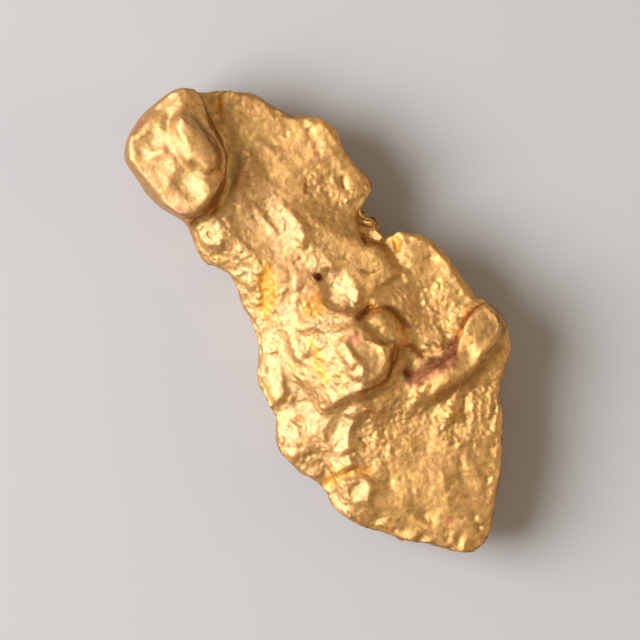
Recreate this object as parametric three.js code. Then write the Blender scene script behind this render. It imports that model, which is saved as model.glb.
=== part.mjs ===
// A gold nugget: one water-worn piece of native gold, lying on the side that the stream wore flattest.
// It is a folded sheet of metal with a round knob at one end, a bump and a bent finger on top,
// and a notch in one long edge.
// Millimetres, +Z up. +X runs along the length, from the knob to the pointed tip.
// The origin is under the middle of the nugget, on the plane that it rests on.

import * as THREE from 'three';
import { MarchingCubes } from 'three/addons/objects/MarchingCubes.js';
import { ImprovedNoise } from 'three/addons/math/ImprovedNoise.js';
import { mergeVertices } from 'three/addons/utils/BufferGeometryUtils.js';

// Driving dimensions.
const SHEET_BOTTOM = 0.95; // underside of the sheet at its rim
const SHEET_TOP = 2.98; // top of the sheet at its rim
const PLATE_TOP = 3.2; // top of the flat plate beside the knob
const LAYER_TOP = 3.6; // top of the thick fold that crosses the middle
const BODY_TOP = 3.3; // top of the broad end
const LOBE_TOP = 3.45; // top of the lobe past the notch
const KNOB_TOP = 5.5; // highest point, on the knob's dome
const BUMP_TOP = 4.8; // top of the bump in the middle
const FINGER_TOP = 4.2; // top of the bent finger at its thick end
const WELD = 0.35; // how far two forms flow into each other where they meet
const WIDE_WELD = 0.9; // the same where one form swells out of another
const FLAT_WELD = 1.5; // the same round the worn flat below
const TIGHT_WELD = 0.15; // the same at a fold, where a crease stays open
const RIM_ROUND = 0.5; // rounding of the sheet's edge on top
const UNDER_ROUND = 1.3; // rounding of every edge below, where the stream rolled it
const PAD_ROUND = 0.45; // rounding of the layers that lie on it

// The grid that the surface is taken from. A power of two keeps its corners exact.
const GRID_CELLS = 64;
const GRID_HALF_SIDE = 12;
const CELL = (2 * GRID_HALF_SIDE) / GRID_CELLS;
const LEAST_SHARE = 0.06; // no vertex lies nearer to a grid corner than this share of a cell
const MOST_TRIANGLES = 12000;

// Outlines seen from above, anticlockwise from the knob's underside. Each is a smooth closed curve.
const RIM_OUTLINE = [
  [-9.9, -1.1], [-8.8, -2.1], [-7.4, -2.75], [-6.4, -3.03], [-5.6, -3.22], [-4.95, -3.35],
  [-4.45, -3.2], [-4.1, -2.9], [-3.4, -2.88], [-2.3, -3.06], [-1.4, -3.13], [-0.5, -3.4],
  [0.1, -3.95], [1.0, -4.42], [2.0, -4.6], [2.7, -5.0], [3.3, -5.28], [4.3, -5.1],
  [5.2, -4.78], [5.55, -4.64], [6.3, -4.77], [7.1, -4.5], [8.2, -3.78], [9.1, -3.2],
  [9.75, -2.45], [10.5, -1.85], [11.05, -1.32], [11.1, -0.8], [10.78, -0.1], [9.9, 0.72],
  [9.1, 1.52], [8.0, 2.32], [7.1, 3.1], [6.2, 3.45], [5.9, 3.85], [5.3, 4.6],
  [4.7, 5.1], [3.9, 5.3], [3.1, 5.12], [2.6, 4.84], [1.5, 4.82], [0.4, 4.84],
  [-0.4, 4.66], [-0.97, 4.15], [-1.4, 3.6], [-1.1, 3.2], [-0.95, 2.85], [-1.3, 2.8],
  [-1.65, 3.0], [-2.05, 3.1], [-2.45, 3.0], [-2.9, 3.05], [-2.98, 3.55], [-3.25, 3.96],
  [-4.3, 3.96], [-5.1, 3.84], [-5.8, 4.04], [-6.6, 3.93], [-7.0, 3.65], [-7.25, 3.12],
  [-7.9, 2.72], [-8.7, 2.38], [-9.4, 1.78], [-9.95, 1.25], [-10.35, 0.5], [-10.5, -0.3],
];
const PLATE_OUTLINE = [
  [-9.6, -0.2], [-8.0, -0.8], [-6.0, -0.8], [-4.4, 0.8], [-3.1, 2.0], [-3.15, 3.3],
  [-3.5, 3.78], [-4.3, 3.8], [-5.1, 3.68], [-5.8, 3.88], [-6.5, 3.75], [-6.9, 3.4],
  [-7.15, 2.95], [-7.9, 2.52], [-8.6, 2.2], [-9.3, 1.62], [-9.8, 1.1], [-10.1, 0.4],
];
const LAYER_OUTLINE = [
  [-6.2, -2.6], [-4.6, -2.7], [-3.0, -2.45], [-1.0, -2.65], [0.8, -3.2], [2.6, -3.4],
  [3.9, -2.6], [3.4, -1.2], [1.6, -0.2], [0.6, 0.7], [0.5, 1.8], [0.35, 2.6],
  [-0.3, 2.92], [-1.2, 2.85], [-2.0, 2.45], [-3.1, 1.95], [-4.3, 1.4], [-5.3, 0.6],
  [-6.1, -0.4], [-6.4, -1.5],
];
const BODY_OUTLINE = [
  [3.0, -3.4], [4.8, -3.8], [6.6, -3.8], [8.1, -3.2], [9.3, -2.5], [10.6, -1.5],
  [10.75, -0.7], [10.3, 0.0], [9.5, 0.85], [8.0, 2.1], [7.0, 2.95], [6.1, 3.4],
  [5.6, 4.1], [4.9, 4.75], [3.9, 4.0], [3.4, 1.6], [3.3, 0.4], [2.9, -1.5],
];
const KNOB_OUTLINE = [
  [-10.98, -1.9], [-10.55, -3.05], [-9.85, -3.66], [-8.5, -3.7], [-7.1, -3.52], [-6.42, -3.05],
  [-6.15, -2.0], [-6.75, -0.75], [-7.7, -0.02], [-9.0, 0.15], [-10.35, 0.46], [-10.95, 0.05],
  [-11.04, -0.9],
];
const BUMP_OUTLINE = [
  [0.3, -0.7], [0.75, -1.55], [1.8, -1.95], [2.9, -1.75], [3.4, -1.1], [3.45, -0.2],
  [2.95, 0.55], [2.35, 1.0], [1.7, 0.65], [0.8, 0.3],
];
const FINGER_OUTLINE = [
  [3.05, 4.9], [2.98, 4.3], [3.1, 3.7], [3.55, 3.1], [3.85, 2.4], [3.9, 1.5],
  [4.1, 0.7], [4.6, 0.35], [5.0, 0.8], [5.1, 1.6], [5.2, 2.5], [5.0, 3.4],
  [4.75, 4.3], [4.3, 4.95], [3.7, 5.12],
];
const LOBE_OUTLINE = [
  [-0.95, 3.4], [0.4, 2.5], [0.6, 1.4], [0.9, 0.2], [3.0, 0.3], [3.7, 3.4],
  [3.3, 4.8], [2.6, 4.62], [1.5, 4.62], [0.4, 4.64], [-0.4, 4.42], [-0.85, 4.0],
];
const REST_OUTLINE = [
  [-5.2, -1.6], [-2.4, -2.2], [1.2, -2.9], [4.6, -3.2], [7.2, -2.2], [8.2, -0.6],
  [6.4, 1.2], [3.2, 2.1], [0.2, 1.5], [-3.0, 1.3], [-5.6, 0.6],
];

const noise = new ImprovedNoise();

// The smaller of two distances, flowing from one to the other over a width.
function weld(a, b, width) {
  const share = Math.max(width - Math.abs(a - b), 0) / width;
  return Math.min(a, b) - (share * share * width) / 4;
}

// Signed distance from each grid column to an outline, negative inside it.
function columnDistances(outline) {
  const points = outline.map(([x, y]) => new THREE.Vector3(x, y, 0));
  const curve = new THREE.CatmullRomCurve3(points, true, 'centripetal');
  const ring = curve.getPoints(outline.length * 4);
  const distances = new Float32Array(GRID_CELLS * GRID_CELLS);
  const place = new THREE.Vector3();
  const nearest = new THREE.Vector3();
  const side = new THREE.Line3();
  for (let j = 0; j < GRID_CELLS; j++) {
    for (let i = 0; i < GRID_CELLS; i++) {
      place.set(gridPlace(i), gridPlace(j), 0);
      let least = Infinity;
      let inside = false;
      for (let k = 0; k + 1 < ring.length; k++) {
        side.set(ring[k], ring[k + 1]);
        side.closestPointToPoint(place, true, nearest);
        least = Math.min(least, place.distanceTo(nearest));
        const { start, end } = side;
        const crosses = start.y > place.y !== end.y > place.y;
        const rise = (place.y - start.y) / (end.y - start.y);
        if (crosses && place.x < start.x + rise * (end.x - start.x)) inside = !inside;
      }
      distances[j * GRID_CELLS + i] = inside ? -least : least;
    }
  }
  return distances;
}

function gridPlace(index) {
  return (index - GRID_CELLS / 2) * CELL;
}

// A slab of metal inside an outline, its rim rounded tighter on top than below. Its top can lean.
function slab({ outline, bottom, top, round, leanX = 0, leanY = 0 }) {
  const distances = columnDistances(outline);
  return (x, y, z, column) => {
    const upper = top + leanX * x + leanY * y;
    const half = (upper - bottom) / 2;
    const rim = Math.min(z < bottom + half ? UNDER_ROUND : round, half);
    const out = distances[column] + rim;
    const over = Math.abs(z - bottom - half) - (half - rim);
    return Math.min(Math.max(out, over), 0) + Math.hypot(Math.max(out, 0), Math.max(over, 0)) - rim;
  };
}

// A rounded lump: an ellipsoid with its centre, its three radii and its turn about Z in degrees.
function lump([cx, cy, cz], [rx, ry, rz], turn = 0) {
  const angle = THREE.MathUtils.degToRad(turn);
  const [c, s] = [Math.cos(angle), Math.sin(angle)];
  return (x, y, z) => {
    const [dx, dy, dz] = [x - cx, y - cy, z - cz];
    const [u, v] = [c * dx + s * dy, c * dy - s * dx];
    const reach = Math.hypot(u / rx, v / ry, dz / rz);
    const slope = Math.hypot(u / rx ** 2, v / ry ** 2, dz / rz ** 2);
    return (reach * (reach - 1)) / Math.max(slope, 1e-6);
  };
}

// The forms that make the nugget, each with the width over which it flows into those before it.
function nuggetForms() {
  return [
    // The folded sheet, its thick middle layer, the broad end and the lobe past the notch.
    {
      form: slab({
        outline: RIM_OUTLINE, bottom: SHEET_BOTTOM, top: SHEET_TOP, round: RIM_ROUND, leanY: 0.1,
      }),
      width: WELD,
    },
    { form: slab({ outline: REST_OUTLINE, bottom: -0.13, top: 2.4, round: 0.7 }), width: FLAT_WELD },
    {
      form: slab({
        outline: PLATE_OUTLINE, bottom: 1.2, top: PLATE_TOP + 0.2, round: PAD_ROUND, leanX: 0.04,
      }),
      width: WELD,
    },
    {
      form: slab({ outline: LAYER_OUTLINE, bottom: 1.2, top: LAYER_TOP, round: 1.1, leanY: 0.12 }),
      width: WELD,
    },
    {
      form: slab({
        outline: BODY_OUTLINE, bottom: 1.0, top: BODY_TOP + 0.3, round: PAD_ROUND, leanX: -0.05, leanY: 0.08,
      }),
      width: WELD,
    },
    {
      form: slab({ outline: LOBE_OUTLINE, bottom: 1.3, top: LOBE_TOP, round: PAD_ROUND }),
      width: TIGHT_WELD,
    },
    { form: lump([1.6, 1.9, 1.9], [2.6, 1.6, 1.5]), width: WELD },
    // Scallops along the long edge that slopes away.
    { form: lump([-5.0, -2.25, 1.9], [1.4, 1.05, 1.15]), width: WELD },
    { form: lump([0.8, -3.05, 1.85], [1.75, 1.25, 1.15], -14), width: WELD },
    { form: lump([3.3, -3.8, 1.85], [1.6, 1.4, 1.15]), width: WELD },
    { form: lump([6.4, -3.4, 1.85], [1.7, 1.3, 1.25], 12), width: WELD },
    // The knob: a rounded block that leans down to the low side, with a dome on its high side.
    {
      form: slab({
        outline: KNOB_OUTLINE, bottom: 0.8, top: KNOB_TOP - 0.8, round: 0.9, leanX: -0.03, leanY: 0.2,
      }),
      width: WELD,
    },
    { form: lump([-8.5, -0.95, KNOB_TOP - 1.1], [1.6, 0.85, 1.1], -5), width: WELD },
    // The bump in the middle, the small lump behind it and the bent finger beyond.
    {
      form: slab({
        outline: BUMP_OUTLINE, bottom: 1.5, top: BUMP_TOP + 0.1, round: 1.0, leanX: -0.06, leanY: 0.2,
      }),
      width: WIDE_WELD,
    },
    { form: lump([1.5, 1.25, 2.95], [0.9, 0.6, 0.95], 8), width: TIGHT_WELD },
    {
      form: slab({
        outline: FINGER_OUTLINE, bottom: 1.6, top: FINGER_TOP - 0.4, round: PAD_ROUND, leanY: 0.1,
      }),
      width: WELD,
    },
    // Crumbs of metal caught in the notch.
    { form: lump([-2.25, 3.05, 1.9], [0.5, 0.32, 0.5], 25), width: TIGHT_WELD },
    { form: lump([-1.7, 2.85, 2.1], [0.42, 0.3, 0.5], 30), width: TIGHT_WELD },
    // Low swellings on the underside.
    { form: lump([-8.4, -1.2, 1.7], [2.0, 1.4, 1.55]), width: WELD },
    { form: lump([-6.0, 2.0, 1.5], [2.0, 1.1, 1.15], 20), width: WELD },
    { form: lump([4.0, 3.2, 1.6], [1.6, 1.3, 1.35]), width: WELD },
    { form: lump([8.4, -0.8, 1.6], [1.7, 1.4, 1.3]), width: WELD },
  ];
}

// Slow unevenness of hammered metal.
function unevenness(x, y, z) {
  return 0.11 * noise.noise(x * 0.8, y * 0.8, z * 0.8) + 0.07 * noise.noise(x * 1.9, y * 1.9, z * 1.9 + 40);
}

// The closed surface of the forms, as a geometry in millimetres.
function nuggetGeometry() {
  const forms = nuggetForms();
  const field = new MarchingCubes(GRID_CELLS, new THREE.MeshBasicMaterial(), false, false, MOST_TRIANGLES);
  field.isolation = 0;
  const least = LEAST_SHARE * CELL;
  let cell = 0;
  for (let k = 0; k < GRID_CELLS; k++) {
    for (let j = 0; j < GRID_CELLS; j++) {
      for (let i = 0; i < GRID_CELLS; i++) {
        const [x, y, z] = [gridPlace(i), gridPlace(j), gridPlace(k)];
        let distance = Infinity;
        for (const { form, width } of forms) {
          const next = form(x, y, z, j * GRID_CELLS + i);
          distance = distance === Infinity ? next : weld(distance, next, width);
        }
        distance += unevenness(x, y, z);
        field.field[cell] = distance < 0 ? Math.max(-distance, least) : -Math.max(distance, least);
        cell++;
      }
    }
  }
  field.update();

  const positions = field.positionArray.slice(0, field.count * 3);
  const loose = new THREE.BufferGeometry();
  loose.setAttribute('position', new THREE.BufferAttribute(positions, 3));
  const geometry = mergeVertices(loose, 1e-6);
  geometry.scale(GRID_HALF_SIDE, GRID_HALF_SIDE, GRID_HALF_SIDE);
  return geometry;
}

// The stream and the pan wore the underside flat: what is below the rest plane is pressed up to it.
function wearFlat(geometry) {
  const position = geometry.getAttribute('position');
  for (let i = 0; i < position.count; i++) position.setZ(i, Math.max(position.getZ(i), 0));
}

function centreOverOrigin(geometry) {
  geometry.computeBoundingBox();
  const middle = geometry.boundingBox.getCenter(new THREE.Vector3());
  geometry.translate(-middle.x, -middle.y, 0);
}

function nugget() {
  const geometry = nuggetGeometry();
  wearFlat(geometry);
  centreOverOrigin(geometry);
  geometry.computeVertexNormals();
  const gold = new THREE.MeshStandardMaterial({ color: '#d9a45c', roughness: 0.42, metalness: 1 });
  const mesh = new THREE.Mesh(geometry, gold);
  mesh.name = 'nugget';
  return mesh;
}

const group = new THREE.Group();
group.add(nugget());

export default group;
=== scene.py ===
import math

import bmesh
import bpy
import numpy as np
from mathutils import Matrix, Vector, kdtree, noise


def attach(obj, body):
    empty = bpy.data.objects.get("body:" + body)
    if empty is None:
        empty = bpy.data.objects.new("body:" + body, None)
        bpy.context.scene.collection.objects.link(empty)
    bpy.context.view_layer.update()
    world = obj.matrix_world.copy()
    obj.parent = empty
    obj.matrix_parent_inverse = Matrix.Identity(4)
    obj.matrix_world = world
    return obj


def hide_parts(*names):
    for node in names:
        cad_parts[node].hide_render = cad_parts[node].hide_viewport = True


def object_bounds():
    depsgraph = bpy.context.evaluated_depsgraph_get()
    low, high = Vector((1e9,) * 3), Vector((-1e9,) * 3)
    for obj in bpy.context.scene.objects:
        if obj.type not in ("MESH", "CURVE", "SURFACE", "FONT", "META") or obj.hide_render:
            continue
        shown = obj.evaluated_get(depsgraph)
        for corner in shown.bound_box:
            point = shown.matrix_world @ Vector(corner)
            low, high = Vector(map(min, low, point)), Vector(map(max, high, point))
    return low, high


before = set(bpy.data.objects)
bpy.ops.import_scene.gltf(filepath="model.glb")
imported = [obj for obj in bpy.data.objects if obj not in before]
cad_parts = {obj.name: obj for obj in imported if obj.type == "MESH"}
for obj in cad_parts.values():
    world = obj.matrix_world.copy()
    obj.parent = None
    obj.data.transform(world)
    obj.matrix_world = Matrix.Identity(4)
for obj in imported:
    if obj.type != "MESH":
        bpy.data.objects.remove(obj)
solid_box = [list(corner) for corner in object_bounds()]

# ---------------------------------------------------------------------------------------------
# The body of the nugget: one lump of native gold, folded and rolled by the stream.
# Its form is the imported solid's, on a copy, at a finer grain. All the shaping that follows is
# worked in millimetres on that copy, and the copy is brought to metres at the end.

MM = 1000.0  # millimetres in a metre
GRAIN = 0.064  # distance between neighbouring points of the fine surface, in millimetres

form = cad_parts["nugget"].data.copy()
form.transform(Matrix.Scale(MM, 4))
nugget = bpy.data.objects.new("nugget_surface", form)
bpy.context.scene.collection.objects.link(nugget)


def apply_modifiers(piece):
    """Replaces a piece's mesh by the mesh that its modifiers make."""
    depsgraph = bpy.context.evaluated_depsgraph_get()
    made = bpy.data.meshes.new_from_object(piece.evaluated_get(depsgraph))
    piece.modifiers.clear()
    piece.data = made


def remesh():
    """Makes the surface anew from points GRAIN apart."""
    fine = nugget.modifiers.new("fine_grain", "REMESH")
    fine.mode = "VOXEL"
    fine.voxel_size = GRAIN
    apply_modifiers(nugget)
    return nugget.data


surface = remesh()


def read_points():
    places = np.empty(len(surface.vertices) * 3)
    surface.vertices.foreach_get("co", places)
    return places.reshape(-1, 3)


def read_normals():
    normals = np.empty(len(surface.vertices) * 3)
    surface.vertex_normals.foreach_get("vector", normals)
    return normals.reshape(-1, 3)


def write_points(places):
    surface.vertices.foreach_set("co", places.ravel())
    surface.update()


def read_edges():
    """The pairs of points that edges join, and the number of neighbours of each point."""
    edges = np.empty(len(surface.edges) * 2, dtype=np.int64)
    surface.edges.foreach_get("vertices", edges)
    return edges.reshape(-1, 2), np.bincount(edges, minlength=len(surface.vertices))


edges, neighbours = read_edges()


def spread(values, rounds):
    """Evens out values over the surface: each round takes the mean of a point's neighbours."""
    for _ in range(rounds):
        summed = np.zeros_like(values)
        columns = values.reshape(len(values), -1)
        out = summed.reshape(len(values), -1)
        for c in range(columns.shape[1]):
            out[:, c] = np.bincount(edges[:, 0], weights=columns[edges[:, 1], c], minlength=len(values))
            out[:, c] += np.bincount(edges[:, 1], weights=columns[edges[:, 0], c], minlength=len(values))
            out[:, c] /= neighbours
        values = summed
    return values


def ease(low, high, values):
    """0 below low, 1 above high, and a smooth rise between."""
    share = np.clip((values - low) / (high - low), 0, 1)
    return share * share * (3 - 2 * share)


WANDER_SEED = 7  # without it the slow wander below would differ from run to run
noise.seed_set(WANDER_SEED)


def drifting(places, reach):
    """Places seen from above, moved by a slow wander, so that no line is drawn straight."""
    closeness, octaves = 1.1, 3
    wander = [noise.turbulence_vector(Vector(p) * closeness, octaves, False)[:2] for p in places]
    return places[:, :2] + reach * np.array(wander)


# Corners that the rolling closed. Places are (x, y) in millimetres, seen from above, and heights are
# in millimetres over the rest plane. standing picks the upper side and its walls.
places = read_points()
normals = read_normals()
standing = ease(2.0, 2.4, places[:, 2]) * ease(-0.5, -0.1, normals[:, 2])
spots = drifting(places, reach=0.1)
heights = places[:, 2].copy()


def along(line):
    """Distance from a bent line, the side of it (positive on the left), and how far along it, 0 to 1."""
    line = np.array(line, dtype=float)
    steps = np.diff(line, axis=0)
    lengths = np.hypot(steps[:, 0], steps[:, 1])
    starts = np.concatenate([[0], np.cumsum(lengths)])
    best = np.full(len(places), 1e9)
    side = np.zeros(len(places))
    run = np.zeros(len(places))
    for (ax, ay), (sx, sy), length, start in zip(line, steps, lengths, starts):
        dx, dy = spots[:, 0] - ax, spots[:, 1] - ay
        share = np.clip((dx * sx + dy * sy) / length**2, 0, 1)
        away = np.hypot(dx - share * sx, dy - share * sy)
        nearer = away < best
        best = np.where(nearer, away, best)
        side = np.where(nearer, np.sign(sx * dy - sy * dx), side)
        run = np.where(nearer, (start + share * length) / starts[-1], run)
    return best, side, run


def inside(outline):
    """How far each point lies inside a closed outline, negative outside it."""
    ring = outline + outline[:1]
    away, _, _ = along(ring)
    x, y = spots[:, 0], spots[:, 1]
    within = np.zeros(len(places), dtype=bool)
    for (ax, ay), (bx, by) in zip(ring[:-1], ring[1:]):
        if ay != by:
            within ^= ((ay > y) != (by > y)) & (x < ax + (y - ay) * (bx - ax) / (by - ay))
    return np.where(within, away, -away)


def leaning(outline, slope, uphill):
    """A flat's rise or fall from its middle: slope for each millimetre towards the uphill heading."""
    middle = np.mean(outline, axis=0)
    angle = math.radians(uphill)
    dx, dy = places[:, 0] - middle[0], places[:, 1] - middle[1]
    return slope * (dx * math.cos(angle) + dy * math.sin(angle))


def fill(outline, slope, uphill, height, edge=0.3):
    """Fills a corner up to a leaning flat, height at its middle, where the surface lies lower than it."""
    share = ease(-edge, edge, inside(outline)) * standing
    climb = leaning(outline, slope, uphill)
    heights[:] += share * np.maximum(height + climb - heights, 0)


fill(
    [(-7.3, 0.6), (-5.8, 0.5), (-5.7, -1.2), (-6.3, -1.5), (-6.7, -0.6)],
    slope=0.05, uphill=55, height=3.32,
)
fill(
    [(-1.4, 0.4), (0.5, 0.6), (0.9, 0.0), (1.0, -1.6), (0.6, -2.4), (-0.9, -2.2)],
    slope=0.42, uphill=20, height=3.8,
)
fill(
    [(0.2, -1.3), (2.9, -1.2), (3.1, -2.0), (2.8, -2.9), (0.9, -2.8), (-0.2, -2.2)],
    slope=0.62, uphill=80, height=3.75,
)
fill([(2.5, -1.3), (3.9, -1.2), (4.3, -2.6), (2.4, -2.9)], slope=0.45, uphill=70, height=3.42)
fill([(3.4, 0.8), (4.5, 0.6), (4.6, -1.6), (3.4, -1.8)], slope=0.15, uphill=180, height=3.55, edge=0.45)
fill(
    [(2.2, 0.95), (2.3, 1.2), (2.9, 0.8), (3.5, 0.2), (3.65, -0.6), (3.3, -1.5), (2.95, -1.4),
     (2.95, 0.0)],
    slope=1.0, uphill=195, height=3.95, edge=0.15,
)
fill(
    [(0.7, 0.2), (0.8, 1.4), (1.2, 1.62), (1.8, 1.62), (2.5, 1.3), (2.8, 0.6)],
    slope=0.12, uphill=265, height=4.0, edge=0.3,
)
fill([(2.7, 5.1), (3.4, 5.0), (3.6, 3.4), (3.0, 3.3)], slope=0.5, uphill=350, height=3.72, edge=0.2)
fill(
    [(2.3, 0.75), (3.0, 0.35), (3.15, -0.2), (3.15, -1.2), (2.4, -1.4)],
    slope=0.12, uphill=235, height=4.3, edge=0.12,
)
fill(
    [(-2.85, 3.05), (-2.45, 3.2), (-2.25, 3.4), (-1.95, 3.15), (-2.05, 2.85), (-2.5, 2.65)],
    slope=0.35, uphill=55, height=3.1, edge=0.07,
)
fill(
    [(-1.9, 2.9), (-1.75, 3.15), (-1.45, 3.15), (-1.25, 2.85), (-1.65, 2.45), (-2.1, 2.5)],
    slope=0.35, uphill=55, height=3.12, edge=0.07,
)
places[:, 2] = heights
write_points(places)
surface = remesh()
edges, neighbours = read_edges()

# Small steps in the fine surface are ironed out: each round smooths it and swells it back to its size.
IRONING_ROUNDS = 16
IRONED = 0.5
SWOLLEN_BACK = 0.52

places = read_points()
for _ in range(IRONING_ROUNDS):
    places += IRONED * (spread(places, 1) - places)
    places -= SWOLLEN_BACK * (spread(places, 1) - places)
write_points(places)

# The rim is a sheared edge, so its shoulder stands fuller than the solid's, on a slightly closer outline.
SHOULDER_RISE = 0.26
SHOULDER_WIDTH = 0.6
OUTLINE_CLOSER = 0.07
UPRIGHT = 0.15  # the most that a wall's facing may point up or down
WALL_TOP = 2.6

normals = read_normals()
wall = np.flatnonzero((np.abs(normals[:, 2]) < UPRIGHT) & (places[:, 2] < WALL_TOP))
rim = kdtree.KDTree(len(wall))
for k, i in enumerate(wall):
    rim.insert((places[i, 0], places[i, 1], 0), k)
rim.balance()
from_rim = np.array([rim.find((x, y, 0))[2] for x, y in places[:, :2]])
rise = np.clip(1 - from_rim / SHOULDER_WIDTH, 0, 1) ** 2
rise *= ease(1.4, 2.2, places[:, 2])
rise *= ease(-0.5, 0.1, normals[:, 2])
closer = OUTLINE_CLOSER * ease(0.7, 0.2, np.abs(normals[:, 2]))
places[:, 2] += SHOULDER_RISE * rise
places[:, :2] -= normals[:, :2] * closer[:, None]
write_points(places)

# ---------------------------------------------------------------------------------------------
# Relief worked into the upper side. Places are (x, y) in millimetres, seen from above, and
# heights are in millimetres too. Each tool pushes the surface straight up or down.

FAR_SIDE = 55  # heading of the far edge. The metal was rolled over, so most flats rise towards it.

normals = read_normals()
faces_up = ease(0.0, 0.35, normals[:, 2])
spots = drifting(places, reach=0.14)
heights = places[:, 2].copy()


def swell(x, y, long, wide, turn, height, flat=0.0):
    """A rounded lump, or a dent where height is negative. turn is its heading in degrees."""
    angle = math.radians(turn)
    dx, dy = spots[:, 0] - x, spots[:, 1] - y
    u = (dx * math.cos(angle) + dy * math.sin(angle)) / long
    v = (dy * math.cos(angle) - dx * math.sin(angle)) / wide
    heights[:] += height * (1 - ease(flat, 1.0, np.hypot(u, v)))


def ends(run, share=0.2):
    """Fades a line out towards both of its ends."""
    return ease(-0.02, share, run) * ease(-0.02, share, 1 - run)


def ridge(line, width, height):
    """A raised line, or a groove where height is negative."""
    away, _, run = along(line)
    heights[:] += height * (1 - ease(0, width, away)) * ends(run)


def crease(line, width, depth):
    """A sharp-bottomed groove where metal folded."""
    away, _, run = along(line)
    heights[:] -= depth * np.clip(1 - away / width, 0, 1) ** 1.5 * ends(run)


def ledge(line, rise, run_back, drop, run_front):
    """A lip: metal raised on the left of the line, and a step down on its right."""
    away, side, run = along(line)
    step = run_front * 0.35
    left = rise * (1 - ease(0, run_back, away)) * (side >= 0)
    right = (rise - (rise + drop) * ease(0, step, away)) * (1 - ease(step, run_front, away))
    heights[:] += np.where(side >= 0, left, right) * ends(run)


def pit(x, y, radius, depth):
    """A small round hole with soft sides."""
    away = np.hypot(spots[:, 0] - x, spots[:, 1] - y)
    heights[:] -= depth * (1 - ease(0.2, 1.0, away / radius))


def facet(outline, slope, uphill=FAR_SIDE, edge=0.12, lift=0.0, height=None):
    """A worn flat that leans, with borders about edge wide.

    Its middle keeps the level that it had, moved by lift, or is set to height above the rest plane.
    """
    share = ease(-edge, edge, inside(outline)) * faces_up
    climb = leaning(outline, slope, uphill)
    if height is None:
        height = np.average(heights - climb, weights=share + 1e-9) + lift
    heights[:] += share * (height + climb - heights)


def lit(*outlines, slope):
    """Flats that lean to the low edge, and so catch the light from that side."""
    for outline in outlines:
        facet(outline, slope=slope)


# The knob: a smooth dome on its high side behind a crease, then facets that step down to its low side.
facet(
    [(-10.7, -1.4), (-6.6, -1.0), (-6.2, -2.0), (-6.4, -3.0), (-7.1, -3.45), (-9.9, -3.6), (-10.6, -2.9)],
    slope=0.09, uphill=70, edge=0.22, height=4.86,
)
facet(
    [(-10.0, -0.45), (-9.3, -0.25), (-8.3, -0.25), (-7.4, -0.65), (-7.5, -1.2), (-8.6, -1.35),
     (-9.8, -1.2)],
    slope=0.08, uphill=235, edge=0.15, height=5.32,
)
facet(
    [(-9.9, -1.15), (-9.2, -1.2), (-8.2, -1.3), (-8.05, -1.65), (-8.9, -1.8), (-9.7, -1.7)],
    slope=0.45, uphill=75, height=5.16,
)
facet(
    [(-9.5, -1.8), (-8.3, -1.7), (-8.0, -2.0), (-8.5, -2.35), (-9.3, -2.3)],
    slope=0.06, uphill=235, edge=0.25, height=4.98,
)
lit(
    [(-10.4, -1.7), (-9.9, -1.5), (-9.55, -1.65), (-9.65, -2.1), (-10.1, -2.2)],
    [(-9.5, -2.2), (-9.15, -2.1), (-9.1, -2.9), (-9.4, -3.3), (-9.65, -2.9)],
    slope=0.5,
)
facet(
    [(-8.05, -2.35), (-7.7, -1.8), (-7.35, -1.4), (-6.9, -1.35), (-6.5, -1.65), (-6.6, -2.1),
     (-7.2, -2.3), (-7.7, -2.6)],
    slope=0.36, uphill=75, edge=0.18, height=4.94,
)
lit(
    [(-8.4, -2.35), (-7.9, -2.5), (-7.9, -3.2), (-8.4, -3.0)],
    [(-10.95, -0.3), (-10.6, -0.2), (-10.45, -0.9), (-10.9, -1.0)],
    [(-10.2, -2.9), (-9.7, -3.0), (-9.4, -3.5), (-9.9, -3.5)],
    [(-10.9, -1.1), (-10.5, -1.1), (-10.5, -1.6), (-10.9, -1.7)],
    slope=0.42,
)
facet([(-9.05, -2.25), (-8.45, -2.3), (-8.5, -3.1), (-9.0, -3.15)], slope=0.06, lift=-0.03)
facet([(-7.8, -2.5), (-6.9, -2.4), (-6.7, -3.0), (-7.6, -3.25)], slope=0.12)
crease([(-9.5, -2.0), (-9.7, -2.4), (-10.0, -2.9)], width=0.32, depth=0.17)
crease([(-10.1, -1.15), (-9.8, -1.5), (-9.45, -1.85)], width=0.3, depth=0.1)
crease([(-9.05, -2.5), (-8.9, -2.9), (-9.0, -3.3)], width=0.3, depth=0.04)

# The collar plate: flat and dimpled, with a rounded lip along its far edge.
crease([(-9.75, 0.95), (-9.3, 0.62), (-8.9, 0.6)], width=0.2, depth=0.14)
swell(-9.35, 1.0, long=0.25, wide=0.16, turn=10, height=0.08)
swell(-9.75, 0.35, long=0.3, wide=0.18, turn=0, height=0.1)
crease([(-8.85, 1.7), (-8.6, 1.85), (-8.3, 1.88)], width=0.14, depth=0.06)
crease([(-7.55, 1.35), (-7.1, 1.6), (-6.8, 1.5)], width=0.16, depth=0.07)
swell(-5.1, 3.5, long=1.9, wide=0.42, turn=-2, height=0.04, flat=0.4)
crease([(-7.0, 3.15), (-6.3, 3.02), (-5.2, 3.08), (-4.2, 3.0), (-3.3, 3.05)], width=0.2, depth=0.04)
facet([(-6.0, 3.05), (-5.4, 3.15), (-5.35, 2.85), (-5.9, 2.8)], slope=0.3)
facet([(-4.75, 2.9), (-4.4, 2.85), (-4.2, 2.45), (-4.7, 2.35)], slope=0.3)
crease([(-4.3, 3.15), (-4.15, 3.0), (-3.85, 2.95)], width=0.12, depth=0.12)
crease([(-4.1, 2.1), (-3.7, 2.3), (-3.4, 2.4), (-3.2, 2.35)], width=0.16, depth=0.12)
crease([(-5.1, 1.88), (-4.85, 1.7), (-4.6, 1.55)], width=0.07, depth=0.1)
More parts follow.
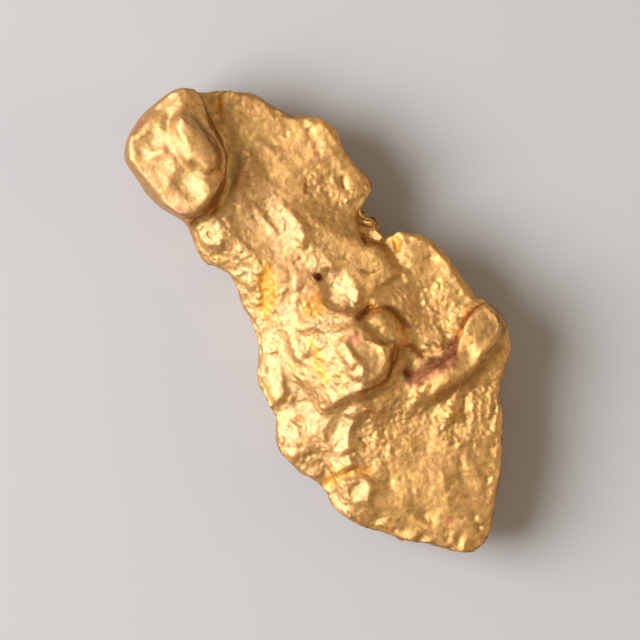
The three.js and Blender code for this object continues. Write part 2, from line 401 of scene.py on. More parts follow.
for x, y in [(-6.95, 3.1), (-6.6, 3.05), (-6.05, 2.3), (-4.6, 2.3), (-4.65, 1.95), (-3.45, 2.4)]:
    pit(x, y, radius=0.1, depth=0.08)

# The thick fold across the middle: an upper pad, a riser, a tread and a riser to the low edge.
facet(
    [(-4.6, 1.0), (-3.4, 1.6), (-2.2, 2.3), (-1.2, 2.7), (0.1, 2.7), (0.35, 1.6), (0.3, 0.9), (-1.5, 1.0),
     (-3.2, 0.6)],
    slope=0.05, edge=0.3, height=3.66,
)
facet(
    [(-5.7, 0.05), (-5.0, 0.65), (-4.0, 0.8), (-3.1, 0.65), (-2.9, 0.25), (-3.9, -0.15), (-5.0, -0.3)],
    slope=0.46, edge=0.2, height=3.48,
)
facet(
    [(-1.6, 0.45), (-1.2, 1.0), (-0.2, 1.1), (0.25, 0.6), (0.1, 0.0), (-0.6, -0.15), (-1.3, 0.1)],
    slope=0.44, edge=0.2, height=3.52,
)
facet(
    [(-5.6, -0.2), (-4.2, -0.25), (-2.8, 0.1), (-1.5, -0.1), (-2.2, -0.5), (-3.2, -1.3), (-4.5, -1.7),
     (-5.6, -1.5)],
    slope=0.1, edge=0.4, height=3.34,
)
lit(
    [(-1.9, -1.2), (-1.5, -1.05), (-1.0, -1.5), (-0.55, -2.05), (-0.9, -2.25), (-1.5, -1.75)],
    [(-2.6, -0.45), (-2.0, -0.55), (-1.7, -1.0), (-2.1, -1.1)],
    slope=0.5,
)
lit(
    [(-6.0, -0.1), (-5.6, 0.1), (-5.45, -0.2), (-5.8, -0.4)],
    [(-6.2, -2.2), (-5.0, -2.1), (-4.7, -2.4), (-5.1, -2.95), (-6.3, -2.9)],
    [(-4.05, -2.2), (-3.6, -2.1), (-3.4, -2.5), (-3.8, -2.8)],
    [(-1.0, -2.35), (-0.65, -2.45), (-0.65, -2.95), (-1.0, -3.0)],
    slope=0.36,
)
facet([(-3.45, -1.95), (-2.85, -2.0), (-2.7, -2.4), (-3.2, -2.5)], slope=0.28, lift=0.06)
facet([(-2.3, -0.1), (-1.4, -0.15), (-1.3, -0.45), (-1.9, -0.6)], slope=0.05, lift=0.04)
crease([(-0.55, 2.25), (-0.6, 1.85), (-0.85, 1.55)], width=0.14, depth=0.08)
crease([(-5.8, -1.05), (-5.6, -1.25), (-5.45, -1.5)], width=0.14, depth=0.14)
crease([(-2.65, -0.05), (-2.55, -0.45)], width=0.1, depth=0.1)
swell(-2.3, -2.0, long=1.0, wide=0.36, turn=-37, height=-0.14, flat=0.3)
for x, y in [(-6.1, -0.75), (-4.8, -0.55), (-3.65, -0.65), (-3.25, 0.1), (-2.75, 0.2), (-2.2, 0.1)]:
    pit(x, y, radius=0.1, depth=0.08)
for k in range(4):
    ridge(
        [(-6.3, -2.0 - 0.27 * k), (-5.4, -2.12 - 0.27 * k), (-4.5, -2.05 - 0.24 * k)],
        width=0.12, height=0.05,
    )

# The notch side lobe and its crystalline hollow.
ridge([(-1.2, 3.6), (-0.5, 4.35), (0.4, 4.5), (1.6, 4.45), (2.7, 4.5)], width=0.25, height=0.05)
crease([(-1.3, 3.5), (-0.95, 3.35), (-0.6, 3.18)], width=0.2, depth=0.16)
swell(-0.72, 3.62, long=0.2, wide=0.14, turn=-10, height=0.1)
facet([(0.05, 2.95), (0.35, 3.02), (0.62, 2.85), (0.35, 2.68), (0.1, 2.72)], slope=0.25, lift=0.12)
facet([(1.0, 4.0), (1.9, 4.05), (1.8, 3.8), (1.2, 3.7)], slope=0.25)
swell(2.1, 3.0, long=1.3, wide=0.9, turn=15, height=-0.07, flat=0.5)
ridge([(3.3, 2.65), (3.5, 2.3), (3.2, 1.9), (2.9, 1.8)], width=0.18, height=0.14)
for x, y in [(0.7, 2.75), (1.25, 3.45), (-0.05, 3.2), (2.3, 3.2), (3.0, 2.95)]:
    pit(x, y, radius=0.1, depth=0.1)

# Crevices round the small lump, and fold lines over the bump.
swell(1.45, 1.15, long=0.75, wide=0.5, turn=15, height=0.12)
crease([(0.6, 1.35), (0.55, 0.9), (0.62, 0.3)], width=0.2, depth=0.1)
crease([(0.75, 1.6), (1.2, 1.8), (1.7, 1.85), (2.05, 1.72)], width=0.14, depth=0.04)
crease([(2.5, 1.4), (3.0, 1.48), (3.4, 1.7)], width=0.12, depth=0.08)
crease([(1.1, 0.2), (1.5, 0.32), (1.95, 0.6), (2.35, 0.98)], width=0.14, depth=0.12)
crease([(1.2, 0.5), (1.6, 0.8), (1.95, 0.95), (2.3, 1.15)], width=0.12, depth=0.08)
crease([(2.95, 5.0), (3.0, 4.3), (3.1, 3.8), (3.4, 3.35)], width=0.1, depth=0.06)
facet(
    [(0.5, -0.9), (2.9, -0.9), (3.0, -1.6), (2.6, -2.1), (1.0, -2.1), (0.3, -1.6)],
    slope=0.45, uphill=75, edge=0.25, height=3.98,
)
facet([(0.0, 0.2), (1.1, 0.3), (1.1, -1.4), (0.2, -1.8)], slope=0.42, uphill=20, edge=0.3, height=4.05)
facet(
    [(0.75, 0.15), (1.6, 0.35), (2.5, 0.5), (2.95, 0.1), (2.7, -0.5), (1.4, -0.5), (0.7, -0.35)],
    slope=0.07, edge=0.25, height=4.42,
)
lit(
    [(0.45, -0.65), (0.95, -0.5), (1.1, -1.0), (0.5, -1.2)],
    [(1.0, -0.55), (2.0, -0.55), (2.1, -0.95), (1.1, -1.1)],
    [(2.1, -0.55), (2.65, -0.6), (2.6, -1.05), (2.15, -1.1)],
    [(0.8, -1.25), (1.45, -1.2), (1.5, -1.65), (0.8, -1.9)],
    slope=0.46,
)
facet([(1.6, -1.15), (2.8, -1.1), (2.8, -1.5), (1.7, -1.5)], slope=0.25)

# The slope to the low edge: lumps that run down to the right, with stained gullies between.
lit(
    [(-0.9, -1.8), (-0.5, -1.85), (-0.4, -2.3), (-0.9, -2.4)],
    [(3.3, -2.6), (4.1, -2.4), (4.75, -2.85), (4.5, -3.4), (3.8, -3.25), (3.6, -2.9)],
    [(4.5, -3.6), (5.1, -2.95), (5.45, -3.2), (5.1, -3.75), (4.9, -3.95)],
    [(6.0, -3.1), (6.5, -2.85), (6.9, -3.5), (6.5, -3.95), (6.1, -3.65)],
    [(3.05, -1.7), (3.4, -1.45), (3.75, -1.85), (3.4, -2.2), (3.05, -2.15)],
    [(2.9, -4.7), (3.6, -4.55), (3.85, -4.85), (3.2, -5.1)],
    slope=0.5,
)
lit(
    [(-0.3, -2.1), (0.4, -2.05), (0.85, -2.5), (0.4, -2.6), (-0.2, -2.35)],
    [(0.3, -2.65), (0.6, -2.6), (0.68, -2.9), (0.3, -2.95)],
    [(0.8, -2.6), (1.3, -2.55), (1.55, -2.95), (1.1, -3.05)],
    [(2.1, -3.2), (2.9, -3.15), (3.4, -3.7), (3.3, -3.95), (2.7, -3.6), (2.2, -3.5)],
    [(2.2, -4.4), (2.9, -4.3), (3.1, -4.6), (2.6, -4.8)],
    [(5.7, -4.3), (6.8, -4.2), (6.9, -4.45), (5.9, -4.65)],
    [(2.2, -2.0), (2.7, -1.8), (2.9, -2.3), (2.4, -2.3)],
    [(3.5, -1.35), (3.72, -1.35), (3.72, -1.68), (3.5, -1.68)],
    [(5.55, -1.55), (5.95, -1.55), (5.95, -2.0), (5.6, -1.95)],
    [(5.7, -2.2), (6.0, -2.25), (6.05, -2.7), (5.8, -2.75)],
    [(4.6, -1.55), (5.0, -1.55), (5.15, -2.0), (4.8, -1.95)],
    slope=0.4,
)
facet(
    [(-0.1, -3.2), (0.4, -3.15), (1.0, -3.4), (1.6, -3.85), (1.5, -4.25), (0.7, -3.95), (0.1, -3.6)],
    slope=0.32, lift=0.05,
)
facet([(4.0, -4.15), (5.0, -4.25), (4.9, -4.75), (4.1, -4.85)], slope=0.12, lift=0.04)
facet(
    [(1.2, -3.0), (1.9, -2.95), (2.0, -3.95), (1.6, -3.75), (1.2, -3.35)],
    slope=0.15, uphill=200, lift=-0.05,
)
crease([(-0.6, -2.45), (0.2, -2.85), (1.0, -3.15), (1.6, -3.8)], width=0.22, depth=0.1)
crease([(-0.1, -3.0), (-0.2, -3.25)], width=0.12, depth=0.18)
crease([(2.0, -2.5), (2.2, -3.1), (2.0, -3.9), (1.95, -4.5)], width=0.22, depth=0.12)
swell(2.6, -3.85, long=0.3, wide=0.18, turn=10, height=-0.18)
crease([(5.75, -2.5), (5.85, -2.9), (5.5, -3.6), (5.3, -4.7)], width=0.28, depth=0.24)
crease([(3.8, -1.6), (4.3, -2.0), (4.9, -2.3), (5.3, -2.35)], width=0.4, depth=0.16)
crease([(4.6, -2.28), (4.95, -2.3), (5.15, -2.25)], width=0.1, depth=0.16)

# The finger ridge and what lies beyond it.
facet(
    [(3.2, 4.9), (4.2, 4.9), (4.4, 4.3), (4.3, 3.6), (3.4, 3.6), (3.2, 4.2)],
    slope=0.07, uphill=235, edge=0.25,
)
facet(
    [(3.6, 3.5), (4.4, 3.5), (4.85, 2.7), (4.7, 1.8), (4.4, 1.8), (3.9, 2.9)],
    slope=0.05, uphill=235, edge=0.2,
)
lit(
    [(4.4, 1.75), (4.75, 1.6), (4.9, 1.2), (4.6, 1.0), (4.45, 1.3)],
    [(4.35, 0.6), (4.6, 0.6), (4.9, 0.1), (4.6, -0.15)],
    [(5.2, 2.0), (5.45, 2.0), (5.5, 1.4), (5.3, 1.4)],
    [(5.25, 1.1), (5.5, 1.1), (5.5, 0.6), (5.3, 0.6)],
    slope=0.45,
)
swell(5.8, 1.3, long=0.35, wide=0.7, turn=10, height=0.14, flat=0.3)
crease([(5.55, 2.25), (5.95, 1.95), (6.4, 1.55)], width=0.22, depth=0.22)
for k in range(4):
    ridge(
        [(5.5 + 0.24 * k, 2.6 + 0.22 * k), (6.1 + 0.26 * k, 2.25 + 0.2 * k),
         (6.8 + 0.2 * k, 1.7 + 0.2 * k)],
        width=0.12, height=0.08,
    )

# The broad end: a low plateau with shallow ledges, running out to the tip.
ledge(
    [(9.5, 0.35), (8.7, 0.85), (8.0, 0.98), (7.3, 0.95)],
    rise=0.02, run_back=0.5, drop=0.05, run_front=0.4,
)
crease([(7.4, 0.6), (8.0, 0.3), (8.7, 0.05)], width=0.22, depth=0.07)
ridge([(7.5, -0.3), (7.9, -0.5), (8.3, -0.7), (9.0, -1.15)], width=0.13, height=0.06)
facet([(10.05, -1.1), (10.65, -1.4), (10.6, -1.65), (10.0, -1.4)], slope=0.5)
facet(
    [(7.6, -2.7), (8.4, -2.4), (9.6, -2.2), (9.3, -2.9), (8.4, -3.5), (7.8, -3.7)],
    slope=0.25, uphill=135,
)
facet([(8.5, -2.7), (9.0, -2.5), (9.2, -2.9), (8.8, -3.2)], slope=0.15, lift=0.08)
swell(6.8, -2.4, long=0.6, wide=0.4, turn=-40, height=-0.1)
swell(8.5, -2.0, long=0.7, wide=0.35, turn=20, height=-0.07)
for x, y in [(6.6, 2.85), (7.9, 1.95), (6.3, 1.75), (5.5, 0.45), (6.35, 0.75), (7.0, 0.55), (6.35, 0.4),
             (10.1, -0.1), (10.25, -0.45), (9.3, 0.25), (4.4, -2.15)]:
    pit(x, y, radius=0.11, depth=0.1)

# The knob stood proudest, so the stream rubbed its edges softer than the rest.
KNOB = [(-11.3, 0.3), (-8.0, 0.3), (-6.6, -0.4), (-6.1, -2.0), (-6.6, -3.8), (-11.3, -3.8)]
RUBBING_ALL_OVER = 3  # rounds of evening out
RUBBING_KNOB = 12

worked = spread((heights - places[:, 2]) * faces_up, RUBBING_ALL_OVER)
rubbed = ease(-0.3, 0.3, inside(KNOB))
places[:, 2] += worked + rubbed * (spread(worked, RUBBING_KNOB) - worked)

# Borders that the stream rubbed down: the middle fold runs out softly onto the plate and the lobe.
RUBBING_BORDERS = 150

onto_plate, _, _ = along([(-6.0, 0.0), (-5.0, 1.2), (-4.0, 1.7), (-3.0, 2.0), (-2.0, 2.6)])
onto_lobe, _, _ = along([(0.45, 2.5), (0.45, 1.4)])
soft = np.maximum(1 - ease(0.2, 0.9, onto_plate), 1 - ease(0.1, 0.4, onto_lobe))
places[:, 2] += soft * faces_up * (spread(places[:, 2], RUBBING_BORDERS) - places[:, 2])

# Between the lumps of the low side the metal lies in shallow valleys.
LOW_SIDE = [
    (-6.4, -3.6), (-6.2, 0.5), (-3.6, 1.0), (-0.2, 1.3), (1.0, 0.2), (3.0, 0.2), (3.3, -1.2),
    (5.6, -2.0), (7.4, -3.4), (7.0, -5.2), (2.0, -5.6),
]
VALLEY_BREADTH = 60  # rounds of evening out that level a valley
VALLEYS_FILLED = 0.75

valleys = np.maximum(spread(places[:, 2], VALLEY_BREADTH) - places[:, 2], 0)
places[:, 2] += VALLEYS_FILLED * ease(-0.3, 0.5, inside(LOW_SIDE)) * faces_up * valleys

# The crease that sets the knob's dome off from its high edge, and two torn crumbs that stand in the
# notch with gaps round them.
RUBBING_CREASES = 4

heights = places[:, 2].copy()
facet(
    [(-2.9, 3.0), (-2.45, 3.2), (-2.25, 3.4), (-1.98, 3.15), (-2.1, 2.85), (-2.5, 2.68)],
    slope=0.35, edge=0.06, height=3.1,
)
facet(
    [(-1.95, 2.9), (-1.75, 3.2), (-1.45, 3.2), (-1.25, 2.9), (-1.65, 2.45), (-2.15, 2.52)],
    slope=0.35, edge=0.06, height=3.12,
)
crease([(-3.0, 2.85), (-2.55, 2.58), (-2.15, 2.42), (-1.65, 2.33), (-1.15, 2.85)], width=0.17, depth=0.35)
crease([(-2.0, 3.4), (-2.05, 2.95), (-2.15, 2.75), (-2.5, 2.62)], width=0.12, depth=0.4)
crease(
    [(-10.2, -0.48), (-9.5, -0.28), (-8.6, -0.17), (-7.8, -0.27), (-7.22, -0.72), (-7.0, -1.15)],
    width=0.34, depth=0.36,
)
places[:, 2] += spread((heights - places[:, 2]) * faces_up, RUBBING_CREASES)
write_points(places)

# ---------------------------------------------------------------------------------------------
# Hammered facets, pebbling and pits: the stream beat the metal against stones, so each small patch
# leans its own way, with soft grooves between patches. Hollows keep a finer, sharper grain.


def facets(places, size, stretch, heading, lean, groove, seed):
    """Heights of a broken pattern: each cell leans its own way and a groove runs round it."""
    groove_width = 0.28  # as a share of a cell
    draw = 7.0  # sets the cells apart in the random draw of their leans
    middle = Vector((0.5, 0.5, 0.5))
    turn = Matrix.Rotation(math.radians(-heading), 3, "Z")
    scale = Vector((1 / (size * stretch), 1 / size, 1 / size))
    heights = np.empty(len(places))
    for i, place in enumerate(places):
        p = turn @ Vector(place) * scale + Vector((seed, 0, 0))
        distances, cells = noise.voronoi(p)
        apart = min((distances[1] - distances[0]) / groove_width, 1.0)
        apart = apart * apart * (3 - 2 * apart)
        tip = noise.cell_vector(cells[0] * draw) - middle
        heights[i] = lean * tip.dot(p - cells[0]) * apart - groove * (1 - apart)
    return heights


def roughness(places, size, octaves, seed):
    """Ups and downs of about size, with finer and lower ones on top of them."""
    fall, finer = 0.9, 2.1  # how fast the finer ones get lower, and how much finer each is
    shift = Vector((seed, seed, 0))
    return np.array([noise.fractal(Vector(p) / size + shift, fall, finer, octaves) for p in places])


def pocks(places, apart, radius, depth, share, seed):
    """Small round pits, scattered about apart from each other. share says how many places have one."""
    draw = 9.0  # sets the places apart in the random draw
    heights = np.zeros(len(places))
    for i, place in enumerate(places):
        distances, cells = noise.voronoi(Vector(place) / apart + Vector((seed, 0, 0)))
        if noise.cell(cells[0] * draw) < share:
            heights[i] = -depth * max(0.0, 1 - distances[0] * apart / radius) ** 0.6
    return heights


# Below its shoulder the rim is dented all round, with folds that run level along it, and the
# underside is beaten in broad flats. Dents only go inwards.
DENT_DEPTH = 0.22
DENTS_SINK = 0.08
FOLD_DEPTH = 0.24
FOLD_RUN = (0.4, 0.4, 1.0)  # a fold is longer than it is high
CALMER_UNDER = 0.45  # the underside's dents are shallower by this share

normals = read_normals()
at_rim = ease(0.6, 0.3, from_rim)
below = ease(2.5, 1.7, places[:, 2])
wall = ease(0.6, 0.25, np.abs(normals[:, 2])) * at_rim * ease(3.3, 2.9, places[:, 2])
dents = DENT_DEPTH * roughness(places, size=1.3, octaves=3, seed=61)
dents += facets(places, size=1.5, stretch=1.3, heading=10, lean=0.3, groove=0.05, seed=67)
dents -= DENTS_SINK
dents -= FOLD_DEPTH * ease(0.1, 0.5, roughness(places * FOLD_RUN, size=0.7, octaves=2, seed=73))
dents *= 1 - CALMER_UNDER * ease(-0.2, -0.7, normals[:, 2])

# The foot of the wall is rubbed round where the nugget lies on its bed, and so is the knob's wall.
FOOT_HEIGHT = 0.5
RUBBING_FOOT = 60
RUBBING_KNOB_WALL = 100

near_floor = 1 - ease(0.0, FOOT_HEIGHT, places[:, 2])
places[:, 2] += near_floor * (spread(places[:, 2], RUBBING_FOOT) - places[:, 2])
knob_wall = np.maximum(ease(3.4, 2.8, places[:, 2]), at_rim * ease(4.6, 3.8, places[:, 2]))
knob_wall *= 0.9 * rubbed * ease(0.2, 0.9, places[:, 2])
places += knob_wall[:, None] * (spread(places, RUBBING_KNOB_WALL) - places)
share = np.maximum(below * (1 - 0.65 * near_floor), 0.4 * wall)
places = places + normals * (np.minimum(dents, 0.0) * share)[:, None]

# Hammered flats in two sizes lie over each other, drawn out along one heading, with small pits.
DRAWN_OUT = -32

beaten = facets(places, size=1.0, stretch=1.3, heading=DRAWN_OUT, lean=0.05, groove=0.006, seed=3)
beaten += facets(places, size=0.5, stretch=1.2, heading=DRAWN_OUT, lean=0.018, groove=0.002, seed=17)
broad = 0.018 * roughness(places, size=0.9, octaves=2, seed=5)
narrow = 0.008 * roughness(places, size=0.3, octaves=3, seed=23)
beaten += broad + narrow
beaten += pocks(places, apart=0.6, radius=0.14, depth=0.045, share=0.35, seed=7) * (1 - rubbed)
places = places + normals * beaten[:, None]
write_points(places)

# Metal that lies in the lee of the ridges kept a grain of small crystals. High metal is rubbed smooth.
GRAIN_ALL_OVER = 0.36
GRAIN_IN_LEE = 0.9
GRAIN_OFF_KNOB = 0.6


def sunk(places, normals, rounds):
    """How deep each point lies under the mean of the surface round it, in millimetres."""
    return np.einsum("ij,ij->i", spread(places, rounds) - places, normals)


spots = drifting(places, reach=0.3)
lee = np.zeros(len(places))
for share, outline in (
    (0.9, [(0.7, 2.1), (1.2, 4.1), (3.0, 4.2), (3.2, 3.2), (3.9, 2.2), (3.2, 1.6), (1.5, 1.9)]),
    (1.0, [(5.2, 0.0), (5.3, 4.4), (5.9, 4.0), (6.3, 3.3), (7.4, 2.5), (7.3, 1.2), (6.9, 0.3)]),
    (0.8, [(-5.2, 1.6), (-5.4, 3.0), (-3.4, 3.1), (-3.2, 2.1), (-4.2, 1.6)]),
    (0.8, [(3.6, -2.5), (3.5, 0.6), (5.3, 0.4), (6.3, -0.6), (6.0, -2.6), (4.8, -2.4)]),
    (0.6, [(-6.3, -3.2), (-6.0, -1.6), (-2.5, -1.5), (0.0, -2.6), (0.0, -3.6)]),
    (0.5, [(-1.8, -1.6), (-0.5, 0.0), (0.4, -0.5), (0.6, -2.0), (0.0, -2.8)]),
    (0.7, [(-5.8, -0.3), (-5.2, 0.7), (-3.6, 0.8), (-0.2, 1.1), (0.4, 0.5), (-0.4, -0.4), (-3.4, 0.0)]),
    (0.5, [(0.3, 0.0), (1.0, -0.4), (2.9, -0.4), (3.0, -2.0), (0.6, -2.0)]),
    (0.5, [(1.0, -2.4), (3.4, -1.6), (5.4, -2.6), (7.0, -4.4), (3.0, -5.2), (1.0, -3.8)]),
):
    lee = np.maximum(lee, share * ease(-0.4, 0.4, inside(outline)))
normals = read_normals()
lee = np.maximum(lee, 0.7 * ease(0.0, 0.08, spread(sunk(places, normals, 24), 3)))
lee = np.maximum(lee, 0.5 * np.maximum(below, wall))
grain = facets(places, size=0.19, stretch=1.1, heading=20, lean=0.1, groove=0.008, seed=29)
grain += 0.02 * roughness(places, size=0.15, octaves=2, seed=11)
grain = grain * (GRAIN_ALL_OVER + GRAIN_IN_LEE * lee) * (1 - GRAIN_OFF_KNOB * rubbed)
places = places + normals * grain[:, None]

# Nothing stands out of the box that the solid fills.
low, high = np.array(solid_box[0]) * MM, np.array(solid_box[1]) * MM
places = np.clip(places, low, high)
write_points(places)

# Points that lie in flat metal are merged away, which leaves them to the pits and the fine grain.
MOST_TRIANGLES = 196000
surface.calc_loop_triangles()
thin = nugget.modifiers.new("thin", "DECIMATE")
thin.ratio = min(1.0, MOST_TRIANGLES / len(surface.loop_triangles))
apply_modifiers(nugget)
surface = nugget.data
places = read_points()
edges, neighbours = read_edges()

# ---------------------------------------------------------------------------------------------
# What the stream left on the metal: iron stain in films and crevices, and a maroon crust that fills
# the dip beside the finger. Painted shade is kept here too: on the walls that face away from the key
# lamp, down the finger's right flank, and in the hollows. Each is a mask over the surface, from 0 to 1.

normals = read_normals()
depth = sunk(places, normals, 12)
faces_up = ease(0.0, 0.35, normals[:, 2])
spots = drifting(places, reach=0.16)
ragged = roughness(places, size=0.22, octaves=3, seed=41)


def film(*outlines, edge=0.14, torn=0.1):
    """A film that fills the outlines, with a ragged edge."""
    mask = np.zeros(len(places))
    for outline in outlines:
        mask = np.maximum(mask, ease(-edge, edge, inside(outline) + torn * ragged))
    return mask * faces_up


def streak(*lines, width=0.1, torn=0.05):
    """Stain along a crevice, ragged along its sides."""
    mask = np.zeros(len(places))
    for line in lines:
        away, _, run = along(line)
        mask = np.maximum(mask, (1 - ease(0.4 * width, width, away + torn * ragged)) * ends(run, 0.1))
    return mask * faces_up


def specks(*rounds, torn=0.03):
    """Round spots, each given as (x, y, radius)."""
    mask = np.zeros(len(places))
    for x, y, radius in rounds:
        away = np.hypot(spots[:, 0] - x, spots[:, 1] - y)
        mask = np.maximum(mask, 1 - ease(0.5 * radius, radius, away + torn * ragged))
    return mask * faces_up


def keep_mask(name, values):
    """Keeps a mask on the surface, for the material to read."""
    layer = surface.attributes.new(name, "FLOAT", "POINT")
    layer.data.foreach_set("value", np.clip(values, 0, 1).astype(np.float32))


def strongest(*masks):
    """The strongest of several masks at each point."""
    return np.maximum.reduce(masks)


amber = strongest(
    film(
        [(-3.3, -1.25), (-2.7, -1.2), (-2.1, -1.65), (-1.5, -2.2), (-1.35, -2.65), (-2.0, -2.7),
         (-2.8, -2.1)],
        [(-1.15, 3.45), (-0.9, 3.5), (-0.6, 3.3), (-0.75, 3.15), (-1.1, 3.25)],
        [(2.0, -1.35), (2.3, -1.4), (2.25, -1.65), (2.0, -1.6)],
    ),
    streak([(-9.75, 0.9), (-9.2, 0.6), (-8.9, 0.6)], width=0.14),
    0.8 * streak([(0.1, -1.5), (0.8, -1.75), (1.5, -2.0), (2.1, -2.1)], width=0.25),
    0.7 * streak([(6.0, -2.5), (5.75, -3.1), (5.4, -3.6), (5.3, -4.6)], width=0.28),
    0.75 * film([(-1.2, -0.3), (-0.5, -0.2), (-0.25, -0.8), (-0.6, -1.4), (-1.1, -1.2)]),
)
keep_mask("amber", amber)

rust_and_flank_shade = strongest(
    streak(
        [(0.62, 1.35), (0.55, 0.9), (0.6, 0.3)],
        [(0.75, 1.6), (1.2, 1.8), (1.7, 1.85), (2.05, 1.72)],
        [(2.55, 1.42), (3.0, 1.48), (3.4, 1.7)],
        width=0.2,
    ),
    streak(
        [(-2.65, -0.05), (-2.55, -0.45)],
        [(-4.3, 3.15), (-4.15, 3.0), (-3.9, 2.95)],
        [(-5.1, 1.88), (-4.85, 1.7), (-4.6, 1.55)],
        [(-2.0, 3.3), (-2.05, 2.95), (-2.15, 2.75), (-2.5, 2.62)],
        [(-2.15, 2.42), (-1.65, 2.33), (-1.15, 2.85)],
        [(-0.1, -3.0), (-0.2, -3.25)],
        [(4.6, -2.28), (4.95, -2.3), (5.15, -2.25)],
        [(-0.55, 2.25), (-0.6, 1.85), (-0.85, 1.55)],
        [(2.95, 5.0), (3.0, 4.3), (3.1, 3.8), (3.4, 3.35)],
        width=0.08,
    ),
    0.8 * specks((2.6, -3.8, 0.25), (6.6, 2.85, 0.1), (7.9, 1.95, 0.09), (6.3, 1.75, 0.09)),
    0.5 * streak(
        [(-5.8, -1.05), (-5.6, -1.25), (-5.45, -1.5)],
        [(3.2, 1.6), (3.45, 1.95), (3.5, 2.3), (3.3, 2.65)],
        width=0.11,
    ),
    # Painted shade: a wide dark brown band down the finger's steep right flank, which faces away from the
    # key lamp.
    0.4 * streak(
        [(4.5, 4.8), (4.85, 4.2), (5.0, 3.4), (5.25, 2.6), (5.15, 1.8), (5.1, 0.9)],
        width=0.32,
    ),
)
keep_mask("rust_and_flank_shade", rust_and_flank_shade)

maroon = film(
    [(3.35, 3.35), (3.75, 3.15), (4.1, 2.8), (4.45, 2.5), (4.4, 2.1), (4.35, 1.6), (4.3, 1.1),
     (4.4, 0.7), (3.9, 0.55), (3.4, 0.7), (3.3, 1.0), (3.65, 1.2), (3.65, 1.6), (3.5, 1.85),
     (3.8, 2.1), (3.65, 2.4), (3.4, 2.7)],
    edge=0.12,
)
keep_mask("maroon", maroon)

# A dark red grain is stuck in the middle fold, and two smaller ones in the crust.
red_grain = specks((-1.7, 0.09, 0.19), (-1.6, 0.1, 0.2), (-1.5, 0.12, 0.19))
keep_mask("grain", strongest(red_grain, 0.7 * specks((3.95, 2.7, 0.14), (3.55, 0.85, 0.16))))

# Painted shade on the upper walls: a brown darkening, weakest on walls that face the key lamp and
# strongest on those that face the far edge, away from it.
LEAST_WALL_SHADE = 0.25

far = math.radians(FAR_SIDE)
faces_far = normals[:, 0] * math.cos(far) + normals[:, 1] * math.sin(far)
side = (1 - ease(0.25, 0.7, normals[:, 2])) * ease(1.8, 2.8, places[:, 2])
side *= LEAST_WALL_SHADE + (1 - LEAST_WALL_SHADE) * ease(-0.3, 0.3, faces_far)
keep_mask("side", side)

# The low side and the knob are rubbed bright. Stained metal has no polish, and neither have the walls
# under the painted wall shade.
LEAST_POLISH = 0.4

stains_and_wall_shade = np.clip(np.maximum(maroon, rust_and_flank_shade) + 0.5 * amber + red_grain + 0.8 * side, 0, 1)
bright = ease(-0.3, 0.5, np.maximum(inside(LOW_SIDE), inside(KNOB)))
keep_mask("polish", (LEAST_POLISH + (1 - LEAST_POLISH) * bright) * (1 - stains_and_wall_shade))

# Dark specks sit in the duller metal, a red blush on a few high spots, and an olive cast in hollows,
# which is darker than the tan as painted shade in the recesses.
speckle = -pocks(places, apart=0.45, radius=0.1, depth=1.0, share=0.25, seed=83)
speckle *= ease(0.3, 0.8, normals[:, 2])
speckle *= 1 - 0.7 * bright
keep_mask("speckle", speckle)
keep_mask("blush", specks(
    (-10.7, -2.3, 0.35), (-6.9, -3.0, 0.3), (-5.9, 2.95, 0.15), (9.3, -1.3, 0.25), (1.2, -0.1, 0.25),
))
keep_mask("hollow", ease(-0.01, 0.05, depth))

# ---------------------------------------------------------------------------------------------
# Native gold: satin all over, brightly rubbed on the low side and the knob. It is tan with pinker and
# yellower patches where its copper and silver vary, olive in the hollows, where it is also darker as
# painted shade, and stained over that. Painted shade darkens the walls that face away from the key lamp
# and the finger's right flank.

gold = bpy.data.materials.new("native_gold")
gold.use_nodes = True
nodes, links = gold.node_tree.nodes, gold.node_tree.links
shader = nodes["Principled BSDF"]
shader.inputs["Metallic"].default_value = 1.0
where = nodes.new("ShaderNodeTexCoord").outputs["Object"]


def node(kind, **settings):
    """A node of the gold, with its settings and its inputs by name."""
    made = nodes.new(kind)
    for name, value in settings.items():
        if hasattr(made, name):
            setattr(made, name, value)
        else:
            made.inputs[name.replace("_", " ")].default_value = value
    return made


def mask(name):
    """A mask that was kept on the surface."""
    return node("ShaderNodeAttribute", attribute_name=name).outputs["Fac"]


def mottle(size, detail, low, high, warp=0.0):
    """Soft patches about size metres across, as a mask that rises from low to high."""
    pattern = node("ShaderNodeTexNoise", Scale=1 / size, Detail=detail, Distortion=warp)
    links.new(where, pattern.inputs["Vector"])
    steps = node("ShaderNodeMapRange", From_Min=low, From_Max=high)
    links.new(pattern.outputs["Fac"], steps.inputs["Value"])
    return steps.outputs["Result"]


def tint(share, below, above):
    """below where share is 0, above where it is 1. Each is a colour or another colour's socket."""
    mix = nodes.new("ShaderNodeMix")
    mix.data_type = "RGBA"
    links.new(share, mix.inputs["Factor"])
    for socket, colour in (("A", below), ("B", above)):
        target = [i for i in mix.inputs if i.name == socket and i.type == "RGBA"][0]
        if isinstance(colour, tuple):
            target.default_value = (*colour, 1)
        else:
            links.new(colour, target)
    return [o for o in mix.outputs if o.type == "RGBA"][0]


def scaled(value, factor):
    """A mask made weaker by a factor, or by another mask."""
    times = node("ShaderNodeMath", operation="MULTIPLY")
    links.new(value, times.inputs[0])
    if isinstance(factor, float):
        times.inputs[1].default_value = factor
    else:
        links.new(factor, times.inputs[1])
    return times.outputs[0]


# Metal colours, then the colours of what lies on it. The wall colour is painted shade, and the rust
# colour is also painted as shade down the finger's right flank.
TAN = (0.80, 0.44, 0.135)
PINK = (0.75, 0.385, 0.125)
YELLOW = (0.78, 0.475, 0.10)
OLIVE = (0.60, 0.39, 0.11)
BLUSH = (0.72, 0.22, 0.12)
BROWN_MOTTLE = (0.45, 0.24, 0.09)
DARK_SPECK = (0.3, 0.13, 0.035)
WALL_SHADE_COLOUR = (0.26, 0.12, 0.035)
AMBER_FILM = (0.80, 0.35, 0.035)
RUST_AND_FLANK_SHADE = (0.32, 0.11, 0.02)
MAROON_CRUST = (0.28, 0.095, 0.045)
RED_GRAIN = (0.13, 0.02, 0.008)

